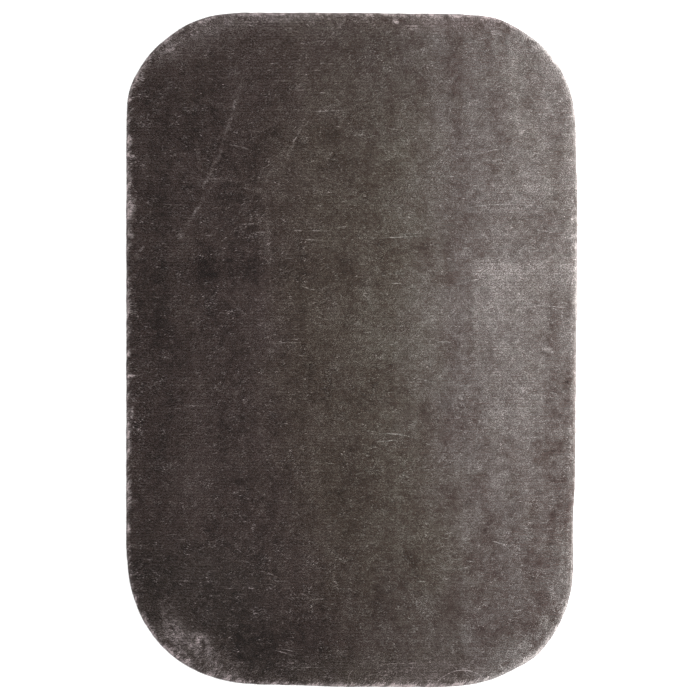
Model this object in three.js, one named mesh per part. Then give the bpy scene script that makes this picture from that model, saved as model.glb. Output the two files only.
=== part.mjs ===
// Bath mat: cut velour pile on a coated, taped and non-slip base.
// Millimetres, +Z up. The origin is under the middle of the mat, on the floor. +Y is the long way.
import * as THREE from 'three';

// Whole mat
const WIDTH = 600;
const LENGTH = 900;
const HEIGHT = 14;

// Corners, anticlockwise from the one at +X +Y. Reach is how far a corner's curve runs along each side.
const CORNER_REACH = [178, 167, 196, 190];
const CORNER_POWER = 2.35; // 2 is a circular arc, and more is squarer
const CORNER_STEPS = 11;

// Layers of the base, upwards from the floor
const GRIP_THICKNESS = 1.4;
const LATEX_THICKNESS = 0.8;
const CLOTH_THICKNESS = 0.8;
const GRIP_TOP = GRIP_THICKNESS;
const LATEX_TOP = GRIP_TOP + LATEX_THICKNESS;
const CLOTH_TOP = LATEX_TOP + CLOTH_THICKNESS;

// Binding tape round the cut edge. An inset is a distance inwards from the mat's outline.
const TAPE_THICKNESS = 0.6;
const TAPE_INSET = 2.4;
const TAPE_REACH_ABOVE = 9;
const TAPE_REACH_BELOW = 26;
const TAPE_TOP = CLOTH_TOP + TAPE_THICKNESS;
const TAPE_BOTTOM = GRIP_TOP - TAPE_THICKNESS;
const CLEARANCE = 0.3;
const BASE_INSET = TAPE_INSET + TAPE_THICKNESS + CLEARANCE;
const GRIP_INSET = TAPE_REACH_BELOW + 1;

// Threads of the two seams
const THREAD = 0.5;
const BINDING_SEAM_INSET = 6;
const HEM_SEAM_INSET = 24;

// Care label, flat under the tape at one short side, between the two seams
const LABEL_WIDTH = 40;
const LABEL_DEPTH = 14;
const LABEL_THICKNESS = 0.4;
const LABEL_X = 60;
const LABEL_Y = (BINDING_SEAM_INSET + HEM_SEAM_INSET) / 2 - LENGTH / 2;
const TACK_WIDTH = 1.2;
const TACK_DEPTH = 12;
const TACK_THICKNESS = 0.3;
const TACK_OFFSET = 18; // from the label's middle

// Pile: it stands on the backing cloth, covers the tape and hangs over the edge
const PILE_FOOT_INSET = TAPE_REACH_ABOVE + CLEARANCE;
const PILE_OVER_TAPE = TAPE_TOP + THREAD + CLEARANCE;
const PILE_UNDERCUT = 1;
const RIM_WIDEST_Z = 7;
const RIM_DEPTH = 10;
const RIM_STEPS = 6;

// One turn of the mat's outline, moved inwards by an inset, anticlockwise seen from above
function outline(inset) {
  const points = [];
  CORNER_REACH.forEach((fullReach, quadrant) => {
    const sideX = quadrant === 0 || quadrant === 3 ? 1 : -1;
    const sideY = quadrant < 2 ? 1 : -1;
    const reach = fullReach - inset;
    for (let step = 0; step <= CORNER_STEPS; step += 1) {
      const angle = (quadrant + step / CORNER_STEPS) * Math.PI / 2;
      const alongX = Math.abs(Math.cos(angle)) ** (2 / CORNER_POWER);
      const alongY = Math.abs(Math.sin(angle)) ** (2 / CORNER_POWER);
      const x = sideX * (WIDTH / 2 - fullReach + reach * alongX);
      const y = sideY * (LENGTH / 2 - fullReach + reach * alongY);
      points.push([x, y]);
    }
  });
  return points;
}

// A solid whose edge follows the outline. The profile is a list of [inset, z] from the bottom, up the
// outer side, to the top. A band's profile closes on itself, and a slab's ends in two flat faces.
function outlineSolid(profile, isBand) {
  const positions = [];
  const faces = [];
  const around = outline(0).length;
  profile.forEach(([inset, z]) => {
    outline(inset).forEach(([x, y]) => positions.push(x, y, z));
  });
  const rings = profile.length;
  const bands = isBand ? rings : rings - 1;
  for (let ring = 0; ring < bands; ring += 1) {
    const lower = ring * around;
    const upper = ((ring + 1) % rings) * around;
    for (let i = 0; i < around; i += 1) {
      const next = (i + 1) % around;
      faces.push(lower + i, lower + next, upper + next);
      faces.push(lower + i, upper + next, upper + i);
    }
  }
  if (!isBand) {
    const last = (rings - 1) * around;
    const bottomMiddle = positions.length / 3;
    const topMiddle = bottomMiddle + 1;
    positions.push(0, 0, profile[0][1], 0, 0, profile[rings - 1][1]);
    for (let i = 0; i < around; i += 1) {
      const next = (i + 1) % around;
      faces.push(bottomMiddle, next, i);
      faces.push(topMiddle, last + i, last + next);
    }
  }
  const geometry = new THREE.BufferGeometry();
  geometry.setAttribute('position', new THREE.Float32BufferAttribute(positions, 3));
  geometry.setIndex(faces);
  geometry.computeVertexNormals();
  return geometry;
}

function slab(inset, bottom, top) {
  return outlineSolid([[inset, bottom], [inset, top]], false);
}

function threadRing(inset, bottom) {
  const outer = inset - THREAD / 2;
  const inner = inset + THREAD / 2;
  const top = bottom + THREAD;
  return outlineSolid([[outer, bottom], [outer, top], [inner, top], [inner, bottom]], true);
}

// The tape is folded to a C: a wall over the cut edge, a short leg above and a long leg below
function tape() {
  const wallOuter = TAPE_INSET;
  const wallInner = TAPE_INSET + TAPE_THICKNESS;
  return outlineSolid([
    [wallOuter, TAPE_BOTTOM],
    [wallOuter, TAPE_TOP],
    [TAPE_REACH_ABOVE, TAPE_TOP],
    [TAPE_REACH_ABOVE, CLOTH_TOP],
    [wallInner, CLOTH_TOP],
    [wallInner, GRIP_TOP],
    [TAPE_REACH_BELOW, GRIP_TOP],
    [TAPE_REACH_BELOW, TAPE_BOTTOM],
  ], true);
}

// The pile's underside steps up over the tape, and its rim rounds over to the flat top
function pile() {
  const profile = [
    [PILE_FOOT_INSET, CLOTH_TOP],
    [PILE_FOOT_INSET, PILE_OVER_TAPE],
    [PILE_UNDERCUT, PILE_OVER_TAPE],
  ];
  for (let step = 0; step <= RIM_STEPS; step += 1) {
    const angle = (step / RIM_STEPS) * Math.PI / 2;
    const inset = RIM_DEPTH * (1 - Math.cos(angle));
    const z = RIM_WIDEST_Z + (HEIGHT - RIM_WIDEST_Z) * Math.sin(angle);
    profile.push([inset, z]);
  }
  return outlineSolid(profile, false);
}

const finishes = {
  velour: { color: 0x574f4b, roughness: 0.8, metalness: 0 },
  cloth: { color: 0xb7b0a4, roughness: 0.9, metalness: 0 },
  latex: { color: 0xd6d0c2, roughness: 0.65, metalness: 0 },
  grip: { color: 0x3b3937, roughness: 0.7, metalness: 0 },
  tape: { color: 0x494341, roughness: 0.85, metalness: 0 },
  thread: { color: 0x5a5350, roughness: 0.6, metalness: 0 },
  satin: { color: 0xeeece8, roughness: 0.45, metalness: 0 },
};

const mat = new THREE.Group();

function addPiece(name, geometry, finish, position = [0, 0, 0]) {
  const material = new THREE.MeshStandardMaterial(finishes[finish]);
  const piece = new THREE.Mesh(geometry, material);
  piece.name = name;
  piece.position.set(...position);
  mat.add(piece);
}

addPiece('pile', pile(), 'velour');
addPiece('primary_backing', slab(BASE_INSET, LATEX_TOP, CLOTH_TOP), 'cloth');
addPiece('latex_coat', slab(BASE_INSET, GRIP_TOP, LATEX_TOP), 'latex');
addPiece('grip_backing', slab(GRIP_INSET, 0, GRIP_TOP), 'grip');
addPiece('edge_tape', tape(), 'tape');
addPiece('needle_thread', threadRing(BINDING_SEAM_INSET, TAPE_TOP), 'thread');
addPiece('bobbin_thread', threadRing(BINDING_SEAM_INSET, TAPE_BOTTOM - THREAD), 'thread');
addPiece('hem_thread', threadRing(HEM_SEAM_INSET, TAPE_BOTTOM - THREAD), 'thread');

const labelZ = TAPE_BOTTOM - LABEL_THICKNESS / 2;
const labelShape = new THREE.BoxGeometry(LABEL_WIDTH, LABEL_DEPTH, LABEL_THICKNESS);
addPiece('care_label', labelShape, 'satin', [LABEL_X, LABEL_Y, labelZ]);

const tackZ = TAPE_BOTTOM - LABEL_THICKNESS - TACK_THICKNESS / 2;
[['left', -1], ['right', 1]].forEach(([end, side]) => {
  const tackShape = new THREE.BoxGeometry(TACK_WIDTH, TACK_DEPTH, TACK_THICKNESS);
  const tackX = LABEL_X + side * TACK_OFFSET;
  addPiece(`label_stitch_${end}`, tackShape, 'thread', [tackX, LABEL_Y, tackZ]);
});

export default mat;
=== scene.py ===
"""Bath mat with a silky cut pile, built piece by piece round its CAD frame.

Lengths in this script are millimetres in the CAD frame, and become metres as each mesh is made.
"""

import math

import bpy
import numpy as np
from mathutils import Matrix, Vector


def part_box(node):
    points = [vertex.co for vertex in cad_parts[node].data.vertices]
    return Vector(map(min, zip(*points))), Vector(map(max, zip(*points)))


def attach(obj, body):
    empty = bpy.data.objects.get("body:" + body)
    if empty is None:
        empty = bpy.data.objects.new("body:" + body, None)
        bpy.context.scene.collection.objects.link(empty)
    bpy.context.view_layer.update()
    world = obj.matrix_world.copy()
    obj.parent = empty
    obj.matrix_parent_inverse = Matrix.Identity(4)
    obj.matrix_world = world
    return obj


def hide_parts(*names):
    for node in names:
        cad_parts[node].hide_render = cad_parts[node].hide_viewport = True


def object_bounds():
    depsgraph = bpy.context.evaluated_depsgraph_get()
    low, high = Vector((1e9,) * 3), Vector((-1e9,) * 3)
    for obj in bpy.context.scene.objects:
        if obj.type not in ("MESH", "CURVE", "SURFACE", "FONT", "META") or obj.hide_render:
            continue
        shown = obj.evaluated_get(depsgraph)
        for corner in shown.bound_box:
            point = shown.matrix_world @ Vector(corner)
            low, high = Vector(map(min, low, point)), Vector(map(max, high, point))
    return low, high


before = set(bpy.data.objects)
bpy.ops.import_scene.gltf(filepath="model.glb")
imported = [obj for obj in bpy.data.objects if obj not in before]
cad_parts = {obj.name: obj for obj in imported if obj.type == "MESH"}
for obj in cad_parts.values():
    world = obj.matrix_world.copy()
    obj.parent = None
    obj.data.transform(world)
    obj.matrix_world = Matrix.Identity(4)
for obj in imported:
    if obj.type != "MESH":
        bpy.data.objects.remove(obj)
cad_low, cad_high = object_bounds()

MM = 0.001

# ---------------- sizes, as in the CAD model

WIDTH = (cad_high[0] - cad_low[0]) / MM
LENGTH = (cad_high[1] - cad_low[1]) / MM
HEIGHT = cad_high[2] / MM
# Each corner's reach along the sides, and its side in x and in y, anticlockwise
CORNERS = ((178, 1, 1), (167, -1, 1), (196, -1, -1), (190, 1, -1))
CORNER_POWER = 2.35  # 2 is a circular arc, and more is squarer


def box_mm(node):
    """The lowest and the highest corner of a CAD node's box."""
    return [[value / MM for value in corner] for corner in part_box(node)]


def levels(node):
    """The lowest and highest z of a CAD node."""
    low, high = box_mm(node)
    return low[2], high[2]


GRIP_TOP = levels("grip_backing")[1]
LATEX_BOTTOM, LATEX_TOP = levels("latex_coat")
CLOTH_BOTTOM, CLOTH_TOP = levels("primary_backing")
TAPE_BOTTOM, TAPE_TOP = levels("edge_tape")
LABEL_BOTTOM, LABEL_TOP = levels("care_label")

# An inset is a distance inwards from the mat's outline
TAPE_INSET = 2.4
TAPE_THICKNESS = 0.6
TAPE_REACH_ABOVE = 9
TAPE_REACH_BELOW = 26
BASE_INSET = 3.3
GRIP_INSET = 27
BINDING_SEAM_INSET = 6
HEM_SEAM_INSET = 24
PILE_FOOT_INSET = 9.3
PILE_OVER_TAPE = CLOTH_TOP + 1.4  # height at which the pile passes over the tape
RIM_WIDEST = 7  # height of the rim's widest point
RIM_DEPTH = 10

# ---------------- sizes of the finer shapes

STITCH = 3.4
GRIP_SHEET = 0.6  # thickness of the rubber sheet between its dots
DOT_PITCH = 9.0
DOT_RADIUS = 1.8
DOT_SIDES = 8
ROW_PITCH = 4.37
TUFT_PITCH = 3.1
LOCK_PITCH = 1.06  # between neighbouring locks of fibres
LOCK_PULL = 0.1  # how far a lock is drawn to its tuft's middle, as a share of its distance
LOCK_LENGTH = 2.7
LOCK_RADIUS = 0.46
LOCK_WIDENING = 1.15  # a lock's foot is this much wider along the surface
PILE_DEPTH = 1.25  # of the locks' free ends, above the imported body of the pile
ROOT_DEPTH = PILE_DEPTH + 0.35  # the locks' roots are inside the body
BODY_UNDERCUT = 3.6
CREASE_DEPTH = 0.25
RIM_SHADE_LEVEL = 11  # painted shade: the rim's locks are darker below this height
RIM_REACH = 3.2  # inset at which the field's locks stop, and the rim's locks go on from there
STRIPS = 12
NAP = math.radians(184)  # the way the locks lean
SHADE_BELOW = 0.4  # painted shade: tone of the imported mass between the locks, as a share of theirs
SCATTERED_LINES = 240

rng = np.random.default_rng(7)


# ---------------- small helpers


def unit(vectors):
    """The vectors, each made 1 long."""
    return vectors / np.linalg.norm(vectors, axis=-1, keepdims=True)


def ramp(value, start, end):
    """Rises evenly from 0 at the start to 1 at the end, and is level outside them."""
    return np.clip((value - start) / (end - start), 0, 1)


def bell(value, middle, half, power=2):
    """1 in the middle, and falls off to both sides about half away. A higher power has a flatter top."""
    return np.exp(-(((value - middle) / half) ** power))


def turned(x, y, degrees):
    """Coordinates along and across a heading."""
    c, s = math.cos(math.radians(degrees)), math.sin(math.radians(degrees))
    return x * c + y * s, y * c - x * s


# ---------------- outline


def outline_frame():
    """Points once round the mat, and the inward vector at each. Point + inset * inward is at that inset."""
    steps = np.linspace(0, math.pi / 2, 240)
    points, inward = [], []
    for quadrant, (reach, side_x, side_y) in enumerate(CORNERS):
        side = np.array([side_x, side_y])
        angle = steps + quadrant * math.pi / 2
        curve = np.column_stack([np.abs(np.cos(angle)), np.abs(np.sin(angle))])
        curve = curve ** (2 / CORNER_POWER) * side
        centre = side * (np.array([WIDTH, LENGTH]) / 2 - reach)
        points.append(centre + reach * curve)
        inward.append(-curve)
    points.append(points[0][:1])
    inward.append(inward[0][:1])
    return np.vstack(points), np.vstack(inward)


def stations(spacing):
    """Evenly spaced points on the outline, the inward vectors there, and the distance along it."""
    points, inward = outline_frame()
    legs = np.hypot(*np.diff(points, axis=0).T)
    run = np.concatenate([[0], np.cumsum(legs)])
    count = round(run[-1] / spacing)
    at = np.arange(count) * run[-1] / count
    even = np.column_stack([np.interp(at, run, points[:, k]) for k in (0, 1)])
    inner = np.column_stack([np.interp(at, run, inward[:, k]) for k in (0, 1)])
    return even, inner, at


def inset_of(x, y):
    """How far points are inside the outline, and the outward direction there."""
    inset = np.minimum(WIDTH / 2 - np.abs(x), LENGTH / 2 - np.abs(y))
    across = WIDTH / 2 - np.abs(x) < LENGTH / 2 - np.abs(y)
    out_x = np.where(across, np.sign(x), 0.0)
    out_y = np.where(across, 0.0, np.sign(y))
    for reach, side_x, side_y in CORNERS:
        over_x = side_x * x - (WIDTH / 2 - reach)
        over_y = side_y * y - (LENGTH / 2 - reach)
        here = (over_x > 0) & (over_y > 0)
        px, py = np.where(here, over_x, 1.0), np.where(here, over_y, 1.0)
        curve = (px**CORNER_POWER + py**CORNER_POWER) ** (1 / CORNER_POWER)
        inset = np.where(here, reach - curve, inset)
        slope_x, slope_y = px ** (CORNER_POWER - 1), py ** (CORNER_POWER - 1)
        size = np.hypot(slope_x, slope_y)
        out_x = np.where(here, side_x * slope_x / size, out_x)
        out_y = np.where(here, side_y * slope_y / size, out_y)
    return inset, out_x, out_y


# Where the mat's edge leaves the plain outline: side, place and half length along it, distance outwards
NUDGES = (
    ("left", 346, 26, 3.4),
    ("left", 424, 22, -2.8),
    ("right", 275, 54, -2.7),
    ("right", -246, 52, -3.2),
    ("right", -408, 17, 2.6),
    ("top", 192, 26, 3.5),
    ("top", -246, 20, -1.8),
    ("bottom", -110, 60, -0.9),
    ("bottom", 246, 17, 1.2),
    ("bottom", 222, 26, -1.6),
)
# Each side's axis, and the sign of its outward direction
SIDES = {"left": (0, -1), "right": (0, 1), "top": (1, 1), "bottom": (1, -1)}
PAST_EDGE = 1.1  # a side's bow still grows a little outside the outline


def settle(points):
    """The slight bow, taper and waviness of a soft mat's sides."""
    x, y = points[:, 0].copy(), points[:, 1].copy()
    share_x, share_y = x / (WIDTH / 2), y / (LENGTH / 2)
    right, top, bottom = (np.clip(share, 0, PAST_EDGE) for share in (share_x, share_y, -share_y))
    side_bow, side_wave, corner_pull = 4.0, 2.4, 4.9
    corner = corner_pull * (right * bottom) ** 4
    points[:, 0] += right * (side_wave * np.sin(y / 240) + side_bow) + corner
    points[:, 1] += top * (0.2 - 0.9 * np.tanh((x - 60) / 50))
    points[:, 1] -= bottom * (1.9 + 1.25 * np.tanh((x + 60) / 50)) + corner
    for side, place_on_side, half, distance in NUDGES:
        axis, sign = SIDES[side]
        along, outwards = (y, share_x) if axis == 0 else (x, share_y)
        share = bell(along, place_on_side, half) * np.clip(sign * outwards, 0, PAST_EDGE) ** 3
        points[:, axis] += sign * distance * share
    return points


def lumps(x, y, size, seed):
    """Smooth noise from -1 to 1, in lumps about size across."""
    cells = 128
    table = np.random.default_rng(seed).uniform(-1, 1, (cells, cells))
    u, v = x / size + cells / 2, y / size + cells / 2
    i, j = np.floor(u).astype(int), np.floor(v).astype(int)
    f, g = u - i, v - j
    f, g = f * f * (3 - 2 * f), g * g * (3 - 2 * g)
    i, j = i % (cells - 1), j % (cells - 1)
    low = table[i, j] * (1 - f) + table[i + 1, j] * f
    high = table[i, j + 1] * (1 - f) + table[i + 1, j + 1] * f
    return low * (1 - g) + high * g


# ---------------- meshes


def add_object(name, data):
    """A new object in the scene."""
    new = bpy.data.objects.new(name, data)
    bpy.context.scene.collection.objects.link(new)
    return new


def add_piece(name, points, corners, sizes, material, cad_node, values=None, uv=None):
    """Makes a piece from its points, its faces' corners one after another, and each face's number of corners.

    values holds the named numbers of each point that its material reads.
    """
    mesh = bpy.data.meshes.new(name)
    mesh.vertices.add(len(points))
    mesh.vertices.foreach_set("co", (settle(points.copy()) * MM).astype(np.float32).ravel())
    mesh.loops.add(len(corners))
    mesh.loops.foreach_set("vertex_index", np.asarray(corners, dtype=np.int32))
    mesh.polygons.add(len(sizes))
    starts = np.concatenate([[0], np.cumsum(sizes)[:-1]]).astype(np.int32)
    mesh.polygons.foreach_set("loop_start", starts)
    mesh.polygons.foreach_set("use_smooth", np.ones(len(sizes), dtype=bool))
    if uv is not None:
        layer = mesh.uv_layers.new(name="OFBake")
        layer.data.foreach_set("uv", uv.astype(np.float32).ravel())
    for title, numbers in (values or {}).items():
        attribute = mesh.attributes.new(title, "FLOAT", "POINT")
        attribute.data.foreach_set("value", numbers.astype(np.float32))
    mesh.update(calc_edges=True)
    mesh.validate()
    mesh.materials.append(material)
    piece = add_object(name, mesh)
    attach(piece, "root")
    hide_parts(cad_node)
    return piece


def loop(count):
    """The places round a ring, and the place after each."""
    i = np.arange(count)
    return i, (i + 1) % count


def ring(even, inner, inset, z):
    """Points once round the mat at an inset and a height."""
    return np.column_stack([even + inset * inner, np.full(len(even), z)])


def ring_faces(rings, around, closed):
    """Corners and sizes of the quads that join rings of points, wrapping in the second direction."""
    lower = np.arange(rings if closed else rings - 1)[:, None] * around
    upper = (lower + around) % (rings * around)
    i, following = loop(around)
    quads = np.stack([lower + i, lower + following, upper + following, upper + i], axis=-1)
    return quads.reshape(-1), np.full(quads.shape[0] * quads.shape[1], 4)


def capped(rows):
    """Points and faces of a solid: rows of points round it, and a middle point that closes each end row."""
    around = len(rows[0])
    corners, sizes = ring_faces(len(rows), around, False)
    middle = len(rows) * around
    last = middle - around
    i, following = loop(around)
    bottom = np.column_stack([np.full(around, middle), following, i])
    top = np.column_stack([np.full(around, middle + 1), last + i, last + following])
    corners = np.concatenate([corners, bottom.ravel(), top.ravel()])
    sizes = np.concatenate([sizes, np.full(2 * around, 3)])
    middles = [[0, 0, rows[0][0, 2]], [0, 0, rows[-1][0, 2]]]
    return np.vstack([*rows, middles]), corners, sizes


def slab(inset, low, high, edge):
    """A flat layer whose side has softly cut edges, with rings of points inside it."""
    even, inner, _ = stations(4)
    steps_in = (6, 20, 60, 140)
    faced = inset + edge
    profile = [(faced + step, low) for step in steps_in[::-1]]
    profile += [(faced, low), (inset, low + edge), (inset, high - edge), (faced, high)]
    profile += [(faced + step, high) for step in steps_in]
    return capped([ring(even, inner, at, z) for at, z in profile])


def tube(path, radius, sides):
    """A closed tube along an open path, with flat ends."""
    step = unit(np.gradient(path, axis=0))
    across = unit(np.cross(step, [0.0, 0.0, 1.0]))
    lift = np.cross(across, step)
    lines = []
    for k in range(sides):
        angle = -2 * math.pi * k / sides
        lines.append(path + radius * (math.cos(angle) * across + math.sin(angle) * lift))
    points = np.stack(lines, axis=1).reshape(-1, 3)
    quads, sizes = ring_faces(len(path), sides, False)
    i = np.arange(sides)
    corners = np.concatenate([quads, i[::-1], len(points) - sides + i])
    return points, corners, np.concatenate([sizes, [sides, sides]])


def island_faces(sides, rings):
    """Faces of one closed island: a flat end, bands between its rings, and a point."""
    i, following = loop(sides)
    quads, sizes = ring_faces(rings, sides, False)
    last = (rings - 1) * sides
    tris = np.column_stack([last + i, last + following, np.full(sides, rings * sides)])
    corners = np.concatenate([i[::-1], quads, tris.ravel()])
    return corners, np.concatenate([[sides], sizes, np.full(sides, 3)])


def add_islands(name, points, sides, rings, material, cad_node, values=None, uv=None):
    """One piece of many like islands. points is (islands, points of each, 3), with values for each island."""
    count, each = points.shape[:2]
    corners, sizes = island_faces(sides, rings)
    all_corners = (corners[None, :] + np.arange(count)[:, None] * each).ravel()
    all_sizes = np.tile(sizes, count)
    of_points = {title: np.repeat(numbers, each) for title, numbers in (values or {}).items()}
    of_corners = None if uv is None else uv[:, corners].reshape(-1, 2)
    flat = points.reshape(-1, 3)
    return add_piece(name, flat, all_corners, all_sizes, material, cad_node, of_points, of_corners)


# ---------------- materials


def set_inputs(shader_node, values):
    """Sets a node's inputs by their titles."""
    for title, value in values.items():
        shader_node.inputs[title].default_value = value


def new_material(name, roughness, sheen=0.0, specular=0.3):
    """A node material and its shader."""
    material = bpy.data.materials.new(name)
    material.use_nodes = True
    shader = material.node_tree.nodes["Principled BSDF"]
    set_inputs(shader, {"Roughness": roughness, "Specular IOR Level": specular})
    set_inputs(shader, {"Sheen Weight": sheen, "Sheen Roughness": 0.4})
    return material, shader


def feed(material, socket, value):
    """Gives an input its value, or links it to the socket that the value comes from."""
    if isinstance(value, bpy.types.NodeSocket):
        material.node_tree.links.new(value, socket)
    else:
        socket.default_value = value


def node(material, kind, **inputs):
    """Adds a shader node. Each input is a value or a socket to link from, and _0 is the first input."""
    new = material.node_tree.nodes.new(kind)
    for name, value in inputs.items():
        socket = new.inputs[int(name[1:])] if name[0] == "_" else new.inputs[name]
        feed(material, socket, value)
    return new


def times(material, first, second):
    """The product of two values."""
    new = node(material, "ShaderNodeMath", _0=first, _1=second)
    new.operation = "MULTIPLY"
    return new.outputs[0]


def place(material, stretch=(1, 1, 1)):
    """Object coordinates in millimetres, divided by stretch."""
    where = node(material, "ShaderNodeTexCoord").outputs["Object"]
    scale = node(material, "ShaderNodeVectorMath", _0=where, _1=tuple(1 / MM / s for s in stretch))
    scale.operation = "MULTIPLY"
    return scale.outputs[0]


def noise(material, size, stretch=(1, 1, 1), detail=2.0):
    """Noise about 0.5, in lumps of that many millimetres."""
    where = place(material, stretch)
    return node(material, "ShaderNodeTexNoise", Vector=where, Scale=1 / size, Detail=detail).outputs["Fac"]


def ribs(material, pitch, direction, distortion):
    """Ribs from 0 to 1 across a direction, a pitch apart."""
    where, scale = place(material), math.pi / 10 / pitch
    bands = node(material, "ShaderNodeTexWave", Vector=where, Scale=scale, Distortion=distortion)
    bands.bands_direction = direction
    return bands.outputs["Fac"]


def spread(material, value, low, high, out_low, out_high):
    """The value, with the range from low to high spread over another range."""
    new = node(material, "ShaderNodeMapRange", Value=value)
    set_inputs(new, {"From Min": low, "From Max": high, "To Min": out_low, "To Max": out_high})
    return new.outputs["Result"]


def mixed(material, first, second, amount, kind="MIX"):
    """The first colour, mixed with or multiplied by the second, by an amount from 0 to 1."""
    mix = node(material, "ShaderNodeMix")
    mix.data_type = "RGBA"
    mix.blend_type = kind
    feed(material, mix.inputs["Factor"], amount)
    colours = [socket for socket in mix.inputs if socket.type == "RGBA"]
    feed(material, colours[0], first)
    feed(material, colours[1], second)
    return next(socket for socket in mix.outputs if socket.type == "RGBA")


def tinted(material, shader, dark, light, amount):
    """Colours the shader between two colours by a value from 0 to 1."""
    feed(material, shader.inputs["Base Color"], mixed(material, (*dark, 1), (*light, 1), amount))


def bumped(material, shader, height, distance, strength):
    """Gives the shader a fine relief of that many millimetres."""
    bump = node(material, "ShaderNodeBump", Height=height, Strength=strength, Distance=distance * MM)
    feed(material, shader.inputs["Normal"], bump.outputs[0])


def own_value(material, title):
    """A number that each lock holds."""
    own = node(material, "ShaderNodeAttribute")
    own.attribute_name = title
    return own.outputs["Fac"]


def tone_ramp(material, tone, table):
    """The colour that a table of (tone, colour) gives to a tone. Tone 0 is black."""
    brightest = table[-1][0]
    blend = node(material, "ShaderNodeValToRGB", Fac=times(material, tone, 1 / brightest))
    stops = blend.color_ramp.elements
    stops[0].color = (0, 0, 0, 1)
    stops[1].color = (*table[-1][1], 1)
    for at, colour in table[:-1]:
        stops.new(at / brightest).color = (*colour, 1)
    return blend.outputs["Color"]


def pile_material():
    """Silky yarn: its tone, which carries painted light, sheen and shade, and its hue come from each lock,
    with a grain along the rows.
    """
    material, shader = new_material("pile_yarn", 0.5, sheen=0.06, specular=0.05)
    set_inputs(shader, {"Sheen Tint": (0.92, 0.88, 0.88, 1)})
    grain = spread(material, noise(material, 0.8, (1.8, 0.8, 1), 3), 0.25, 0.75, 0.78, 1.22)
    tone = times(material, own_value(material, "tone"), grain)
    colour = tone_ramp(material, tone, TONES)
    for hue, table in (("rosy", ROSY_TONES), ("foot", FOOT_TONES)):
        colour = mixed(material, colour, tone_ramp(material, tone, table), own_value(material, hue))
    fading = spread(material, tone, 1, 6, 1, 0.45)
    olive = times(material, own_value(material, "olive"), fading)
    feed(material, shader.inputs["Base Color"], mixed(material, colour, OLIVE, olive, "MULTIPLY"))
    rough = noise(material, 2, (2, 1, 1), 2)
    feed(material, shader.inputs["Roughness"], spread(material, rough, 0, 1, 0.38, 0.62))
    bumped(material, shader, noise(material, 0.25, (4, 1, 1), 3), 0.1, 0.4)
    return material


def woven_material(name, dark, light, pitch, roughness):
    """Plain cloth: two crossing sets of threads, with lighter and darker ends."""
    material, shader = new_material(name, roughness, sheen=0.1)
    across, along = (ribs(material, pitch, direction, 0.4) for direction in ("X", "Y"))
    weave = node(material, "ShaderNodeMath", _0=across, _1=along)
    weave.operation = "MAXIMUM"
    height = weave.outputs[0]
    cloudy = spread(material, noise(material, 14, detail=3), 0, 1, 0.5, 1.2)
    tinted(material, shader, dark, light, times(material, height, cloudy))
    bumped(material, shader, height, 0.25, 0.6)
    return material


def speckled_material(name, dark, light, size, roughness, depth, sheen=0.0):
    """Rubber, latex or plain yarn, with a fine speckle and a little relief."""
    material, shader = new_material(name, roughness, sheen)
    fine = noise(material, size, detail=4)
    cloudy = spread(material, noise(material, size * 12, detail=2), 0, 1, 0.5, 1.5)
    tinted(material, shader, dark, light, times(material, fine, cloudy))
    bumped(material, shader, fine, depth, 0.5)
    return material


def twill_material(name, dark, light, pitch, roughness):
    """Twill tape: fine diagonal ribs."""
    material, shader = new_material(name, roughness, sheen=0.15)
    diagonal = ribs(material, pitch, "DIAGONAL", 0.6)
    tinted(material, shader, dark, light, times(material, diagonal, noise(material, 9, detail=3)))
    bumped(material, shader, diagonal, 0.2, 0.6)
    return material


# The pile's colour at each tone. A tone between two of them gets a colour between theirs.
TONES = (
    (1, (0.0470, 0.0320, 0.0285)),
    (2, (0.0833, 0.0714, 0.0667)),
    (4, (0.1640, 0.1530, 0.1468)),
    (10, (0.4300, 0.3950, 0.3850)),
)
# On the left half and along the top the bright pile is rosier
ROSY_TONES = (
    (1, (0.0474, 0.0321, 0.0285)),
    (2, (0.0866, 0.0700, 0.0658)),
    (4, (0.1715, 0.1486, 0.1458)),
    (10, (0.4530, 0.3840, 0.3840)),
)
# Near the mat's foot the dark pile is greyer too
FOOT_TONES = (
    (1, (0.0440, 0.0325, 0.0282)),
    (2, (0.0858, 0.0702, 0.0667)),
    (4, (0.1755, 0.1494, 0.1486)),
    (10, (0.4560, 0.3830, 0.3870)),
)
OLIVE = (0.98, 1.01, 0.885, 1)  # multiplies the colours along the mat's middle
PILE = pile_material()
CLOTH = woven_material("backing_cloth", (0.22, 0.195, 0.155), (0.42, 0.385, 0.33), 1.2, 0.85)
LATEX = speckled_material("latex", (0.40, 0.375, 0.31), (0.56, 0.53, 0.46), 1.5, 0.6, 0.2)
RUBBER = speckled_material("grip_rubber", (0.022, 0.021, 0.020), (0.050, 0.048, 0.045), 0.8, 0.62, 0.12)
TAPE = twill_material("binding_tape", (0.016, 0.0135, 0.0128), (0.058, 0.050, 0.046), 0.3, 0.85)
THREAD = speckled_material("sewing_thread", (0.045, 0.038, 0.035), (0.115, 0.100, 0.092), 0.3, 0.5, 0.08, 0.2)
SATIN = woven_material("label_satin", (0.50, 0.49, 0.465), (0.68, 0.67, 0.64), 0.3, 0.4)
TACK = speckled_material("label_thread", (0.15, 0.142, 0.133), (0.29, 0.275, 0.26), 0.3, 0.5, 0.08, 0.2)


# ---------------- base layers


def make_layers():
    """Latex coat and backing cloth, with the softly rounded edges of cut layers."""
    skim = slab(BASE_INSET, LATEX_BOTTOM, LATEX_TOP, edge=0.2)
    weave = slab(BASE_INSET, CLOTH_BOTTOM, CLOTH_TOP, edge=0.2)
    coat = add_piece("latex_skim", *skim, LATEX, "latex_coat")
    return coat, add_piece("backing_weave", *weave, CLOTH, "primary_backing")


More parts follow.
